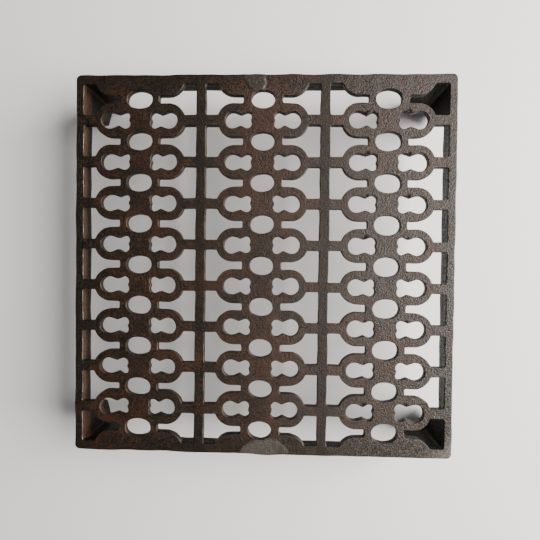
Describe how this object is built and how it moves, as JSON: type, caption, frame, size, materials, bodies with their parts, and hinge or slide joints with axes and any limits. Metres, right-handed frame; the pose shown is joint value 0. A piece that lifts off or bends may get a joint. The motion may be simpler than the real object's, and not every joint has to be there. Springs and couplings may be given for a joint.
{
  "type": "air vent grille",
  "caption": "Square cast iron air vent grille with a face pierced by rings and keyholes, a rim and an angle leg at each corner.",
  "frame": {"origin": "under the middle of the square face, level with the ends of the four legs", "axes": "+Z out of the face, +X to the right along the face, +Y up the face"},
  "size_m": [0.229, 0.229, 0.044],
  "materials": {
    "cast_iron": "bare as-cast iron, darkened and lightly rusted, with a soft grey-brown sheen"
  },
  "bodies": {
    "root": {"grille": "cast_iron"}
  },
  "joints": []
}
